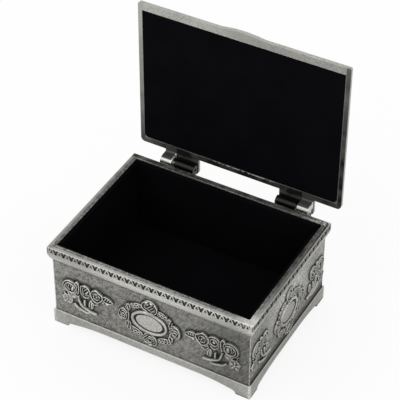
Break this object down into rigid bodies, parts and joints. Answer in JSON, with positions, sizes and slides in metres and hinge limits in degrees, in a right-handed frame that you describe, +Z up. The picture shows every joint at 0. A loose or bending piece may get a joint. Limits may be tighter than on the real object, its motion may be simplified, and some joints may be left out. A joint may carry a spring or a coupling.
{
  "type": "rosary box",
  "caption": "Footed rectangular box of cast metal with moulded rim, rose relief and velvet lining, and a flat lid that turns back on two hinges to hold a rosary",
  "frame": {"origin": "on the table, under the middle of the box's rim", "axes": "+X to the right as seen from the front, +Y to the back where the hinges are, +Z up"},
  "size_m": [0.0902, 0.0767, 0.1098],
  "materials": {
    "pewter_box": "antiqued, satin on the high places",
    "pewter_lid": "antiqued, satin on the high places",
    "hinge_metal": "smooth, grey",
    "bright_steel": "bright",
    "velvet": "short pile",
    "felt": "matt",
    "card": "matt"
  },
  "bodies": {
    "box": {"box_body": "pewter_box", "base_felt": "felt", "floor_board": "card", "floor_velvet": "velvet", "front_board": "card", "front_velvet": "velvet", "back_board": "card", "back_velvet": "velvet", "left_board": "card", "left_velvet": "velvet", "right_board": "card", "right_velvet": "velvet", "hinge_lug_left": "hinge_metal", "hinge_lug_right": "hinge_metal", "hinge_pin_left": "bright_steel", "hinge_pin_right": "bright_steel"},
    "lid": {"lid_plate": "pewter_lid", "hinge_knuckle_left": "hinge_metal", "hinge_knuckle_right": "hinge_metal", "lid_board": "card", "lid_velvet": "velvet"}
  },
  "joints": [
    {"name": "lid_hinge", "type": "hinge", "parent": "box", "child": "lid", "pos_m": [0, 0.03715, 0.03775], "axis": [1, 0, 0], "range_deg": [0, 90]}
  ]
}
